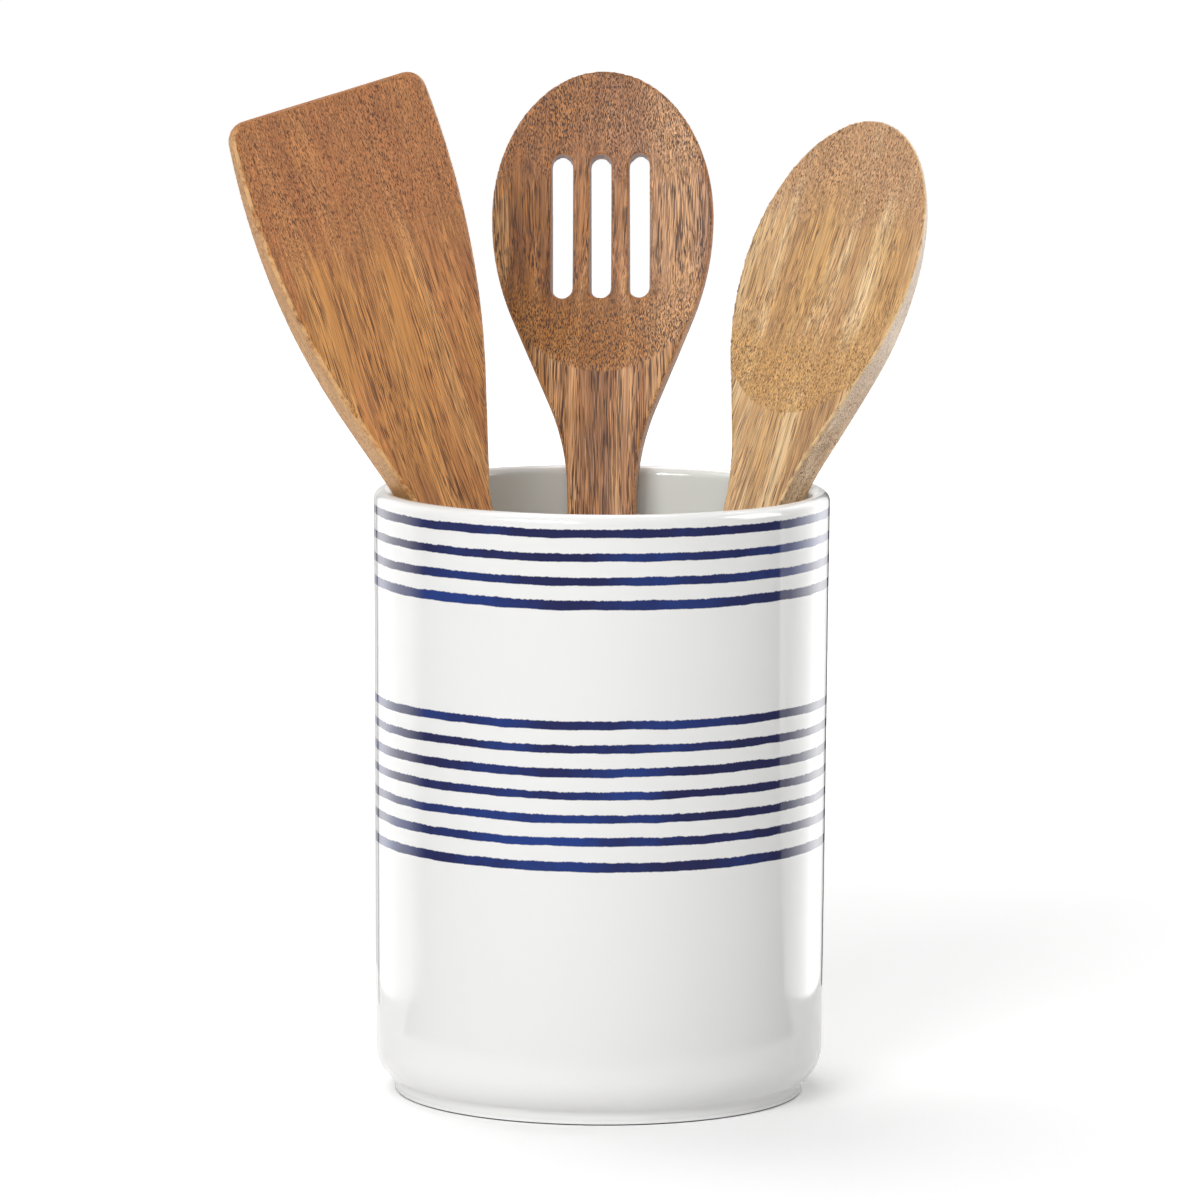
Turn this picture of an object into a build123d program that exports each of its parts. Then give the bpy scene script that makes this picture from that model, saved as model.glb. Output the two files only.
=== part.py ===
from build123d import *
import math
import os

os.makedirs("parts", exist_ok=True)

# A glazed stoneware crock for kitchen tools, with a wooden turner, a slotted
# spoon and a solid spoon standing in it. Millimetres, +Z up. The origin is on
# the axis of the crock, on the surface that it stands on. The front is -Y.

# Crock
crock_height = 177.5
crock_top_radius = 66.7
crock_base_radius = 65.7
lip_wall = 5.7
base_wall = 6.2
floor_thickness = 6.0
inner_corner_radius = 10.5
foot_outer_radius = 59.8
foot_inner_radius = 52.8
foot_height = 3.6
foot_recess = 2.4
foot_edge_cut = 0.6
foot_groove_radius = 1.5
base_curve_height = 9.9

# Handles, the same on all three tools
tool_length = 297.0
handle_thickness = 10.2
neck_width = 20.6
handle_taper_angle = 0.7
handle_corner_radius = 4.0
handle_end_bow_angle = 25.0
edge_radius = 1.5
arris_radius = 0.6

# Head of both spoons
spoon_width = 66.8
spoon_tip_length = 45.0
spoon_shoulder_radius = 80.0
spoon_throat_radius = 70.0
spoon_flank_angle = 23.0
spoon_crown_radius = 160.0
spoon_back_length = 98.0
spoon_tip_thickness = 2.6
dish_depth = 3.2
dish_half_width = 37.5
dish_half_length = 49.0
dish_from_tip = 91.0

# Slots of the slotted spoon
slot_count = 3
slot_width = 6.0
slot_length = 43.5
slot_pitch = 11.6
slot_from_tip = 26.0
slot_shift = 0.6

# Blade of the turner
blade_width = 67.9
blade_widest_from_tip = 22.5
blade_side_radius = 220.0
blade_throat_radius = 60.0
blade_flank_angle = 18.4
blade_corner_radius = 6.0
blade_tip_thickness = 3.8
blade_front_sweep = 1.2
blade_front_curve_length = 60.0
blade_back_curve_length = 112.0

# How the tools stand: each rests on the floor and leans on the lip
seat_gap = 0.3
slotted_foot_x = 0.7
slotted_foot_y = 1.0
turner_row_gap = 8.3
solid_row_gap = 3.9
turner_foot_x = 11.0
solid_foot_x = -5.6
slotted_lean_heading = 90.5
turner_lean_heading = 164.5
solid_lean_heading = 43.9
slotted_turn = -4.5
turner_turn = 28.5
solid_turn = -41.2

# Search for the lean of a tool
steepest_lean = 40.0
halvings = 18
seat_step = 1.0

# Sides of a tool are told from its front and back by how steep they are
steep_share = 0.5

# Extra reach of cutting bodies past what they cut
overrun = 5.0

# Places that follow from the sizes
floor_top = foot_recess + floor_thickness
lip_radius = lip_wall / 2
lip_ring_radius = crock_top_radius - lip_radius
lip_ring_height = crock_height - lip_radius
inner_top_radius = crock_top_radius - lip_wall
inner_base_radius = crock_base_radius - base_wall
turner_foot_y = slotted_foot_y - handle_thickness - turner_row_gap
solid_foot_y = turner_foot_y - neck_width - solid_row_gap


def closest(vertices, x, y):
    """The sketch corner that lies at x, y."""
    return vertices.sort_by_distance(Vector(x, y, 0))[0]


def crock_section():
    """Half section of the crock, drawn to the right of its axis."""
    curve_top = foot_height + base_curve_height
    wall_slope = Vector(crock_base_radius - crock_top_radius, curve_top - lip_ring_height)
    with BuildSketch() as section:
        with BuildLine():
            Polyline(
                (foot_outer_radius, foot_height),
                (foot_outer_radius, 0),
                (foot_inner_radius, 0),
                (foot_inner_radius - foot_recess, foot_recess),
                (0, foot_recess),
                (0, floor_top),
                (inner_base_radius, floor_top),
                (inner_top_radius, lip_ring_height),
            )
            ThreePointArc(
                (inner_top_radius, lip_ring_height),
                (lip_ring_radius, crock_height),
                (crock_top_radius, lip_ring_height),
            )
            Line((crock_top_radius, lip_ring_height), (crock_base_radius, curve_top))
            TangentArc(
                (crock_base_radius, curve_top),
                (foot_outer_radius, foot_height),
                tangent=wall_slope,
            )
        make_face()
        corners = section.vertices()
        fillet(closest(corners, inner_base_radius, floor_top), inner_corner_radius)
        fillet(closest(section.vertices(), foot_outer_radius, foot_height), foot_groove_radius)
        for foot_radius in (foot_outer_radius, foot_inner_radius):
            chamfer(closest(section.vertices(), foot_radius, 0), foot_edge_cut)
    return section.sketch


def make_crock():
    """The crock, turned about its axis."""
    with BuildPart() as crock:
        with BuildSketch(Plane.XZ):
            add(crock_section())
        revolve(axis=Axis.Z)
    return crock.part


def heading(angle):
    """Unit vector that runs down the tool, turned in towards its middle by angle."""
    return Vector(-math.sin(math.radians(angle)), -math.cos(math.radians(angle)))


def handle_side(start, start_angle, throat_radius):
    """Right edge of a handle: flank below the head, throat, tapered shaft and bowed lower end."""
    taper = math.radians(handle_taper_angle)
    bow = math.radians(handle_end_bow_angle)
    start_slope = math.radians(start_angle)
    throat_inset = throat_radius * (math.cos(taper) - math.cos(start_slope))
    flank_inset = start.X - neck_width / 2 - throat_inset
    flank = Line(start, start + heading(start_angle) * (flank_inset / math.sin(start_slope)))
    throat = JernArc(flank @ 1, flank % 1, throat_radius, start_angle - handle_taper_angle)
    neck = throat @ 1
    corner_inset = handle_corner_radius * (math.cos(taper) - math.sin(bow))
    corner_drop = handle_corner_radius * (math.cos(bow) - math.sin(taper))
    narrowing_share = math.tan(taper)
    rise_share = math.tan(bow / 2)
    flat_rise = corner_drop + (neck.X - neck.Y * narrowing_share - corner_inset) * rise_share
    end_rise = flat_rise / (1 - narrowing_share * rise_share)
    shaft = Line(neck, neck + heading(handle_taper_angle) * ((neck.Y - end_rise) / math.cos(taper)))
    corner_turn = 90 - handle_taper_angle - handle_end_bow_angle
    corner = JernArc(shaft @ 1, shaft % 1, handle_corner_radius, -corner_turn)
    JernArc(corner @ 1, corner % 1, (corner @ 1).X / math.sin(bow), -handle_end_bow_angle)


def spoon_outline():
    """Front view of a spoon, its lower end at 0 and its tip at tool_length."""
    widest = Vector(spoon_width / 2, tool_length - spoon_tip_length)
    with BuildSketch() as outline:
        with BuildLine():
            EllipticalCenterArc((0, widest.Y), widest.X, spoon_tip_length, 0, arc_size=90)
            shoulder = JernArc(widest, (0, -1), spoon_shoulder_radius, -spoon_flank_angle)
            handle_side(shoulder @ 1, spoon_flank_angle, spoon_throat_radius)
            mirror(about=Plane.YZ)
        make_face()
    return outline.sketch


def turner_outline():
    """Front view of the turner, its lower end at 0 and its top edge at tool_length."""
    widest_y = tool_length - blade_widest_from_tip
    upper_angle = math.degrees(math.asin(blade_widest_from_tip / blade_side_radius))
    with BuildSketch() as outline:
        with BuildLine():
            side = CenterArc(
                (blade_width / 2 - blade_side_radius, widest_y),
                blade_side_radius,
                upper_angle,
                -upper_angle - blade_flank_angle,
            )
            Line(side @ 0, (0, tool_length))
            handle_side(side @ 1, blade_flank_angle, blade_throat_radius)
            mirror(about=Plane.YZ)
        make_face()
        top_corners = outline.vertices().group_by(Axis.Y)[-1]
        fillet(top_corners, blade_corner_radius)
    return outline.sketch


def spoon_back():
    """Body whose outside is the crowned back: straight handle, head curving forward to the tip."""
    back = handle_thickness / 2
    crown_axis = back - spoon_crown_radius
    bend_start = tool_length - spoon_back_length
    drop = handle_thickness - spoon_tip_thickness
    bend_radius = (spoon_back_length**2 + drop**2) / (2 * drop)
    bend_angle = math.degrees(math.asin((spoon_back_length + overrun) / bend_radius))
    with BuildPart() as body:
        with BuildSketch(Plane.YZ):
            with BuildLine():
                start = Line((crown_axis, -overrun), (back, -overrun))
                shaft = Line(start @ 1, (back, bend_start))
                head = JernArc(shaft @ 1, (0, 1), bend_radius, bend_angle)
                top = Line(head @ 1, (crown_axis, (head @ 1).Y))
                Line(top @ 1, start @ 0)
            make_face()
        revolve(axis=Axis((0, crown_axis, 0), (0, 0, 1)))
    return body.part


def dish():
    """Shallow hollow of a spoon: an arc along the head, turned about an axis in front of it."""
    across_radius = (dish_half_width**2 + dish_depth**2) / (2 * dish_depth)
    along_radius = (dish_half_length**2 + dish_depth**2) / (2 * dish_depth)
    deepest = dish_depth - handle_thickness / 2
    centre_z = tool_length - dish_from_tip + dish_half_length
    reach = dish_half_length + overrun
    edge_y = deepest - (along_radius - math.sqrt(along_radius**2 - reach**2))
    turning_axis = Axis((0, deepest - across_radius, 0), (0, 0, 1))
    sweep = 2 * math.degrees(math.asin((dish_half_width + overrun) / across_radius))
    with BuildPart() as body:
        with BuildSketch(Plane.YZ):
            with BuildLine():
                ThreePointArc(
                    (edge_y, centre_z - reach), (deepest, centre_z), (edge_y, centre_z + reach)
                )
                Polyline(
                    (edge_y, centre_z + reach),
                    (edge_y - overrun, centre_z + reach),
                    (edge_y - overrun, centre_z - reach),
                    (edge_y, centre_z - reach),
                )
            make_face()
        revolve(axis=turning_axis, revolution_arc=sweep)
    return body.part.rotate(turning_axis, -sweep / 2)


def outer_edges(tool):
    """Edges where the sides of a tool meet its front and back."""
    sides = tool.faces().filter_by(lambda face: abs(face.normal_at().Y) < steep_share)
    return sides.edges().filter_by(lambda edge: abs(edge.tangent_at(0.5).Y) < steep_share)


def slots():
    """Cutters for the slots, side by side across the head, a little left of its middle."""
    with BuildPart() as body:
        with BuildSketch(Plane.XZ):
            with Locations((-slot_shift, tool_length - slot_from_tip - slot_length / 2)):
                with GridLocations(slot_pitch, 0, slot_count, 1):
                    SlotOverall(slot_length, slot_width, rotation=90)
        extrude(amount=handle_thickness, both=True)
    return body.part


def make_spoon(slotted):
    """A spoon standing on its lower end, facing -Y, crisper round its front, with or without slots."""
    with BuildPart() as spoon:
        with BuildSketch(Plane.XZ.offset(handle_thickness / 2)):
            add(spoon_outline())
        extrude(amount=-handle_thickness - overrun)
        add(spoon_back(), mode=Mode.INTERSECT)
        edges = outer_edges(spoon)
        fillet(edges - edges.group_by(Axis.Y)[0], edge_radius)
        fillet(outer_edges(spoon).group_by(Axis.Y)[0], arris_radius)
        add(dish(), mode=Mode.SUBTRACT)
        if slotted:
            add(slots(), mode=Mode.SUBTRACT)
    return spoon.part


def make_turner():
    """The turner standing on its lower end, facing -Y, swept forward and thinned to its top edge."""
    front = -handle_thickness / 2
    back = handle_thickness / 2
    front_curve_start = Vector(front, tool_length - blade_front_curve_length)
    tip_front = Vector(front - blade_front_sweep, tool_length)
    tip_back = tip_front + Vector(blade_tip_thickness, 0)
    with BuildPart() as turner:
        with BuildSketch(Plane.XZ):
            add(turner_outline())
        extrude(amount=handle_thickness, both=True)
        with BuildSketch(Plane.YZ) as side:
            with BuildLine():
                low = Line((front, -overrun), (back, -overrun))
                shaft = Line(low @ 1, (back, tool_length - blade_back_curve_length))
                TangentArc(shaft @ 1, tip_back, tangent=shaft % 1)
                Line(tip_back, tip_front)
                TangentArc(front_curve_start, tip_front, tangent=(0, 1))
                Line(front_curve_start, low @ 0)
            make_face()
        extrude(amount=blade_width, both=True, mode=Mode.INTERSECT)
        fillet(outer_edges(turner), edge_radius)
    return turner.part


def corner_lines(outline):
    """Points along the centres of a tool's rounded edges, front and back."""
    inset = handle_thickness / 2 - edge_radius
    points = []
    for edge in offset(outline, -edge_radius).edges():
        steps = math.ceil(edge.length / seat_step)
        for step in range(steps):
            place = edge.position_at(step / steps)
            points += [Vector(place.X, side * inset, place.Y) for side in (-1, 1)]
    return points


def room(point):
    """Distance from a point inside the crock to its wall or lip."""
    reach = math.hypot(point.X, point.Y)
    rise = point.Z - lip_ring_height
    if rise > 0:
        return math.hypot(reach - lip_ring_radius, rise) - lip_radius
    depth_share = -rise / (lip_ring_height - floor_top)
    return inner_top_radius + depth_share * (inner_base_radius - inner_top_radius) - reach


def leaning(points, foot_x, foot_y, heading_angle, turn, lean):
    """Frame of a tool that leans by an angle and rests on the floor of the crock."""
    tilt = math.radians(lean)
    bearing = math.radians(heading_angle)
    along = math.sin(tilt)
    axis = Vector(along * math.cos(bearing), along * math.sin(bearing), math.cos(tilt))
    level_across = Vector(1, 0, 0) - axis * axis.X
    across = level_across.rotate(Axis((0, 0, 0), axis), turn)
    placed = Plane(Vector(foot_x, foot_y, floor_top), across, axis)
    lowest = min(placed.from_local_coords(point).Z for point in points) - edge_radius
    return placed.offset((floor_top + seat_gap - lowest) / axis.Z)


def standing(outline, foot_x, foot_y, heading_angle, turn):
    """Frame of a tool that rests on the floor and leans until it meets the lip."""
    points = corner_lines(outline)
    upright, flat = 0, steepest_lean
    for step in range(halvings):
        lean = (upright + flat) / 2
        frame = leaning(points, foot_x, foot_y, heading_angle, turn, lean)
        gap = min(room(frame.from_local_coords(point)) for point in points) - edge_radius
        if gap > seat_gap:
            upright = lean
        else:
            flat = lean
    return leaning(points, foot_x, foot_y, heading_angle, turn, upright)


def make_tools():
    """The three tools, each with the frame that it stands in."""
    spoon_front = spoon_outline()
    turner_front = turner_outline()
    slotted_frame = standing(
        spoon_front, slotted_foot_x, slotted_foot_y, slotted_lean_heading, slotted_turn
    )
    turner_frame = standing(
        turner_front, turner_foot_x, turner_foot_y, turner_lean_heading, turner_turn
    )
    solid_frame = standing(
        spoon_front, solid_foot_x, solid_foot_y, solid_lean_heading, solid_turn
    )
    return {
        "slotted_spoon": (make_spoon(slotted=True), slotted_frame),
        "turner": (make_turner(), turner_frame),
        "solid_spoon": (make_spoon(slotted=False), solid_frame),
    }


export_step(make_crock(), "parts/crock.step")
for name, (tool, frame) in make_tools().items():
    export_step(frame.location * tool, f"parts/{name}.step")
    print(name, "lower end", frame.origin, "axis", frame.z_dir, "across", frame.x_dir)
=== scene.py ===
import math

import bmesh
import bpy
import numpy as np
from mathutils import Matrix, Vector, noise


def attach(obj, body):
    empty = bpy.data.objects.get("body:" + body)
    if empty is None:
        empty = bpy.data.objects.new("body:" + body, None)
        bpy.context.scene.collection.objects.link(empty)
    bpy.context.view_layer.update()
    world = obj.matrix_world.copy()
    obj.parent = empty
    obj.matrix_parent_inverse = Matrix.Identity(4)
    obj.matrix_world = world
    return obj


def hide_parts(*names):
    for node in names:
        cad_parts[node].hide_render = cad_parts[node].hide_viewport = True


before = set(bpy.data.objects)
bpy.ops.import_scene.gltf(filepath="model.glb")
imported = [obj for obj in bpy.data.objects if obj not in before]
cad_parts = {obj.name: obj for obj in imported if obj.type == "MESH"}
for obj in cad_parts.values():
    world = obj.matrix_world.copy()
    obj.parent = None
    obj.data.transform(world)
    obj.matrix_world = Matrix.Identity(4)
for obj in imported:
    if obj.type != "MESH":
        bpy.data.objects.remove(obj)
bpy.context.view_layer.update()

print("frame loaded:", sorted(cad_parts))

mm = 0.001
whole = bpy.context.scene


# small helpers for meshes and nodes

def addObject(name, mesh):
    thing = bpy.data.objects.new(name, mesh)
    whole.collection.objects.link(thing)
    return thing


def smoothStep(low, high, value):
    share = np.clip((value - low) / (high - low), 0, 1)
    return share * share * (3 - 2 * share)


def wander(points, scale, seed):
    # slow noise at each point, -1 to 1
    shift = Vector((seed * 17.3, seed * 5.9, seed * 11.1))
    return np.array([noise.noise(Vector(p) * scale + shift) for p in points])


def addNode(tree, kind, inputs=None, **settings):
    made = tree.nodes.new(kind)
    for name, value in settings.items():
        setattr(made, name, value)
    for name, value in (inputs or {}).items():
        if isinstance(value, bpy.types.NodeSocket):
            tree.links.new(value, made.inputs[name])
        else:
            made.inputs[name].default_value = value
    return made


def calc(tree, operation, *values):
    made = addNode(tree, "ShaderNodeMath", dict(enumerate(values)), operation=operation)
    return made.outputs[0]


def calcVector(tree, operation, *values):
    made = addNode(tree, "ShaderNodeVectorMath", dict(enumerate(values)), operation=operation)
    return made.outputs[0]


def rampStep(tree, value, low, high):
    # 0 at low, 1 at high, smooth between; low may be above high
    made = addNode(
        tree,
        "ShaderNodeMapRange",
        {"Value": value, "From Min": low, "From Max": high},
        interpolation_type="SMOOTHSTEP",
    )
    return made.outputs[0]


def noiseAt(tree, vector, scale, detail=2.0, roughness=0.5, distortion=0.0):
    made = addNode(
        tree,
        "ShaderNodeTexNoise",
        {
            "Vector": vector,
            "Scale": scale,
            "Detail": detail,
            "Roughness": roughness,
            "Distortion": distortion,
        },
    )
    return made.outputs["Fac"]


def mixColours(tree, share, first, second, blend="MIX"):
    made = addNode(tree, "ShaderNodeMix", {"Factor": share}, data_type="RGBA", blend_type=blend)
    for socket, value in ((made.inputs[6], first), (made.inputs[7], second)):
        if isinstance(value, bpy.types.NodeSocket):
            tree.links.new(value, socket)
        else:
            socket.default_value = (*value, 1)
    return made.outputs[2]


def mixValues(tree, share, first, second):
    inputs = {"Factor": share, "A": first, "B": second}
    return addNode(tree, "ShaderNodeMix", inputs, data_type="FLOAT").outputs[0]


def lengthOf(tree, vector):
    made = addNode(tree, "ShaderNodeVectorMath", {0: vector}, operation="LENGTH")
    return made.outputs["Value"]


def addBump(tree, shader, height, strength, distance):
    inputs = {"Height": height, "Strength": strength, "Distance": distance}
    bump = addNode(tree, "ShaderNodeBump", inputs)
    tree.links.new(bump.outputs[0], shader.inputs["Normal"])


def newGroup(name, inputs, outputs):
    group = bpy.data.node_groups.new(name, "ShaderNodeTree")
    for label, kind, value in inputs:
        socket = group.interface.new_socket(label, in_out="INPUT", socket_type=kind)
        socket.default_value = value
    for label in outputs:
        group.interface.new_socket(label, in_out="OUTPUT", socket_type="NodeSocketFloat")
    given = group.nodes.new("NodeGroupInput").outputs
    result = group.nodes.new("NodeGroupOutput").inputs
    return group, given, result


def useGroup(tree, group, inputs):
    made = tree.nodes.new("ShaderNodeGroup")
    made.node_tree = group
    for name, value in inputs.items():
        if isinstance(value, bpy.types.NodeSocket):
            tree.links.new(value, made.inputs[name])
        else:
            made.inputs[name].default_value = value
    return made.outputs


def emptyMaterial(name):
    material = bpy.data.materials.new(name)
    material.use_nodes = True
    material.node_tree.nodes.clear()
    return material, material.node_tree


def newMaterial(name):
    material, tree = emptyMaterial(name)
    shader = tree.nodes.new("ShaderNodeBsdfPrincipled")
    output = tree.nodes.new("ShaderNodeOutputMaterial")
    tree.links.new(shader.outputs[0], output.inputs["Surface"])
    return material, tree, shader


floatSocket = "NodeSocketFloat"
vectorSocket = "NodeSocketVector"


# one stripe of the crock, as a brush leaves it on a turning pot

brushLook = {
    "driftScale": 0.035,
    # side, share of the raggedness, and its scale: the upper edge is the ragged one
    "edges": ((1, 1.0, 0.75), (-1, 0.45, 0.5)),
    "swellScale": 0.11,
    "swell": 0.6,
    "softness": 0.14,
    "poolShare": 0.88,
}


def brushedBandGroup():
    group, given, result = newGroup(
        "brushedBand",
        [
            ("Place", vectorSocket, (0, 0, 0)),
            ("Centre", floatSocket, 0.0),
            ("Half Width", floatSocket, 1.3),
            ("Seed", floatSocket, 0.0),
            ("Drift", floatSocket, 0.9),
            ("Ragged", floatSocket, 0.9),
        ],
        ["Mask", "Paint"],
    )
    parts = addNode(group, "ShaderNodeSeparateXYZ", {0: given["Place"]}).outputs
    around = addNode(
        group, "ShaderNodeCombineXYZ", {"X": parts[0], "Y": parts[1], "Z": given["Seed"]}
    ).outputs[0]
    drift = calc(group, "SUBTRACT", noiseAt(group, around, brushLook["driftScale"], 2), 0.5)
    centre = calc(group, "MULTIPLY_ADD", drift, given["Drift"], given["Centre"])
    edges = []
    for side, share, scale in brushLook["edges"]:
        place = calcVector(group, "ADD", around, (0, 0, 40 * side))
        swell = noiseAt(group, place, brushLook["swellScale"], 1)
        swell = calc(group, "SUBTRACT", swell, 0.5)
        rag = calc(group, "SUBTRACT", noiseAt(group, place, scale, 3, 0.75), 0.5)
        rough = calc(group, "MULTIPLY", rag, calc(group, "MULTIPLY", given["Ragged"], share))
        offset = calc(group, "MULTIPLY_ADD", swell, brushLook["swell"], rough)
        half = calc(group, "MULTIPLY", given["Half Width"], float(side))
        edges.append(calc(group, "ADD", calc(group, "ADD", centre, half), offset))
    above = calc(group, "SUBTRACT", parts[2], edges[0])
    below = calc(group, "SUBTRACT", parts[2], edges[1])
    soft = brushLook["softness"]
    mask = calc(
        group, "MULTIPLY", rampStep(group, above, soft, -soft), rampStep(group, below, -soft, soft)
    )
    pooled = brushLook["poolShare"]
    paint = calc(
        group,
        "ADD",
        calc(group, "MULTIPLY", noiseAt(group, around, 0.022, 2, 0.5), pooled),
        calc(group, "MULTIPLY", noiseAt(group, given["Place"], 0.35, 2), 0.12),
    )
    group.links.new(mask, result["Mask"])
    group.links.new(paint, result["Paint"])
    return group


# open-pored hardwood, in millimetres along the tool: x across, y through, z along

grainShape = {
    "slopeGain": (1, 1.8, 1),
    "slowDrift": {"stretch": (1, 1, 0.25), "scale": 0.035, "reach": (9, 5, 0)},
    "quickDrift": {"stretch": (1, 1, 0.2), "scale": 0.25, "reach": (0.6, 0.6, 0)},
    "bandStretch": (1, 1, 0.03),
    "fibreStretch": (1, 1, 0.012),
    "fibreScale": 1.8,
    "lineStretch": (1.5, 1.5, 0.03),
    "pitStretch": (1.5, 1.0, 0.3),
    "poreBar": 0.62,
    "poreBarFall": 0.18,
    "poreEdge": (-0.03, 0.06),
    "lineCrowd": (0.22, 0.55),
    "pitCrowd": (0.1, 0.45),
    "cloudStretch": (1, 1, 0.4),
    "cloudScale": 0.06,
    "fibreHeight": 0.5,
    "poreDepth": 0.3,
}


def woodGrainGroup():
    shape = grainShape
    group, given, result = newGroup(
        "woodGrain",
        [
            ("Grain Place", vectorSocket, (0, 0, 0)),
            ("Seed", floatSocket, 0.0),
            ("Stipple", floatSocket, 0.0),
            ("Band Width", floatSocket, 6.0),
            ("Pore Width", floatSocket, 0.4),
            ("Pore Share", floatSocket, 0.5),
        ],
        ["Bands", "Fibre", "Pores", "Cloud", "Height"],
    )
    farSeed = calc(group, "MULTIPLY", given["Seed"], 31.0)
    inputs = {"X": farSeed, "Y": given["Seed"], "Z": given["Seed"]}
    seed = addNode(group, "ShaderNodeCombineXYZ", inputs).outputs[0]
    # a slope of the face shows in the grain more than its depth would suggest
    place = calcVector(group, "MULTIPLY", given["Grain Place"], shape["slopeGain"])
    place = calcVector(group, "ADD", place, seed)

    def warp(source, stretch, scale, reach):
        stretched = calcVector(group, "MULTIPLY", source, stretch)
        inputs = {"Vector": stretched, "Scale": scale, "Detail": 1.0}
        flow = addNode(group, "ShaderNodeTexNoise", inputs).outputs["Color"]
        centred = calcVector(group, "SUBTRACT", flow, (0.5, 0.5, 0.5))
        return calcVector(group, "MULTIPLY", centred, reach)

    slow = warp(place, **shape["slowDrift"])
    quick = warp(place, **shape["quickDrift"])
    fibrePlace = calcVector(group, "ADD", calcVector(group, "ADD", place, slow), quick)

    bandPlace = calcVector(group, "MULTIPLY", fibrePlace, shape["bandStretch"])
    bands = noiseAt(group, bandPlace, calc(group, "DIVIDE", 1.0, given["Band Width"]), 3, 0.5, 0.2)
    threadPlace = calcVector(group, "MULTIPLY", fibrePlace, shape["fibreStretch"])
    fibre = noiseAt(group, threadPlace, shape["fibreScale"], 3, 0.7)

    # pores: long open lines where the fibres lie in the face,
    # and short pits where they dip through it
    poreScale = calc(group, "DIVIDE", 1.0, given["Pore Width"])
    linePlace = calcVector(group, "MULTIPLY", fibrePlace, shape["lineStretch"])
    pitPlace = calcVector(group, "MULTIPLY", fibrePlace, shape["pitStretch"])
    fall = calc(group, "MULTIPLY", given["Pore Share"], shape["poreBarFall"])
    bar = calc(group, "SUBTRACT", shape["poreBar"], fall)
    lines = calc(group, "SUBTRACT", noiseAt(group, linePlace, poreScale, 1, 0.5), bar)
    pits = calc(group, "SUBTRACT", noiseAt(group, pitPlace, poreScale, 1, 0.5), bar)
    lines = rampStep(group, lines, *shape["poreEdge"])
    pits = rampStep(group, pits, *shape["poreEdge"])
    crowd = noiseAt(group, bandPlace, 0.5, 2)
    lines = calc(group, "MULTIPLY", lines, rampStep(group, crowd, *shape["lineCrowd"]))
    pits = calc(group, "MULTIPLY", pits, rampStep(group, crowd, *shape["pitCrowd"]))
    pores = mixValues(group, given["Stipple"], lines, pits)
    cloudPlace = calcVector(group, "MULTIPLY", place, shape["cloudStretch"])
    cloud = noiseAt(group, cloudPlace, shape["cloudScale"], 3, 0.5, 0.4)
    raised = calc(group, "MULTIPLY", fibre, shape["fibreHeight"])
    sunk = calc(group, "MULTIPLY", pores, shape["poreDepth"])
    height = calc(group, "SUBTRACT", raised, sunk)
    for label, value in (
        ("Bands", bands),
        ("Fibre", fibre),
        ("Pores", pores),
        ("Cloud", cloud),
        ("Height", height),
    ):
        group.links.new(value, result[label])
    return group


brushedBand = brushedBandGroup()
woodGrain = woodGrainGroup()
print("node groups built")


# crock: sizes in millimetres, height from the surface that it stands on

crockLook = {
    "height": 177.5,
    "topRadius": 66.7,
    "baseRadius": 65.7,
    "lipWall": 5.7,
    "baseWall": 6.2,
    "floorTop": 8.4,
    "cornerRadius": 10.5,
    "footOuter": 59.8,
    "footInner": 52.8,
    "footHeight": 3.6,
    "footRecess": 2.4,
    "footEdge": 0.55,
    "footGroove": 1.5,
    # points of the hollow curve, as shares of the groove outwards and upwards
    "grooveShares": ((0.42, 0.22), (0.1, -0.15), (0, -0.8)),
    "curveHeight": 9.9,
    "capRadius": 0.6,
    "recessStep": 30.0,
    "floorStep": 5.0,
    "wallStep": 3.0,
    "sectors": 288,
    "wobble": 0.16,
    "trueBelow": (4, 30),
    "trueNearLip": 30,
    "bellyFrom": (16, 30),
    "bellyShare": 0.35,
    # how far in from the top radius the paint ends and the painted shade inside begins
    "paintDepth": (3.0, 2.4),
    "insideDepth": (4.6, 5.4),
    "insideAbove": (9.2, 9.8),
    "bareBelow": (1.7, 1.2),
    # the dark line along the bottom edge of the foot is a painted contact shadow
    "paintedFootShadowBelow": (0.5, 0.3),
    "blueRange": (0.38, 0.68),
    "glaze": (0.85, 0.848, 0.832),
    # the glaze inside is painted darker and greener, as the shade and tint of the light within the
    # crock
    "insideShadeGlaze": (0.80, 0.83, 0.80),
    "biscuit": (0.95, 0.945, 0.935),
    "paintedFootShadow": (0.03, 0.028, 0.026),
    "navy": (0.022, 0.024, 0.085),
    "cobalt": (0.022, 0.052, 0.235),
    "stripes": (
        (172.3, 1.25),
        (165.4, 1.2),
        (158.5, 1.25),
        (151.7, 1.4),
        (117.1, 1.25),
        (110.3, 1.2),
        (103.5, 1.3),
        (96.9, 1.2),
        (90.1, 1.2),
        (83.5, 1.25),
        (76.2, 1.4),
    ),
}


def arcPoints(centre, radius, start, end, count):
    angles = np.radians(np.linspace(start, end, count))
    return [(centre[0] + radius * math.cos(a), centre[1] + radius * math.sin(a)) for a in angles]


def evenLine(start, end, step):
    count = max(2, int(math.dist(start, end) / step) + 1)
    return [tuple(p) for p in np.linspace(start, end, count)]


def tangentArc(start, slope, end, count):
    # arc from start to end that leaves start along slope
    start, end = Vector(start), Vector(end)
    slope = Vector(slope).normalized()
    side = Vector((-slope.y, slope.x))
    chord = end - start
    radius = chord.length_squared / (2 * side.dot(chord))
    centre = start + side * radius
    first = math.atan2(start.y - centre.y, start.x - centre.x)
    last = math.atan2(end.y - centre.y, end.x - centre.x)
    turn = (last - first + math.pi) % (2 * math.pi) - math.pi
    return [
        (
            centre.x + abs(radius) * math.cos(first + turn * k / (count - 1)),
            centre.y + abs(radius) * math.sin(first + turn * k / (count - 1)),
        )
        for k in range(count)
    ]


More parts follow.
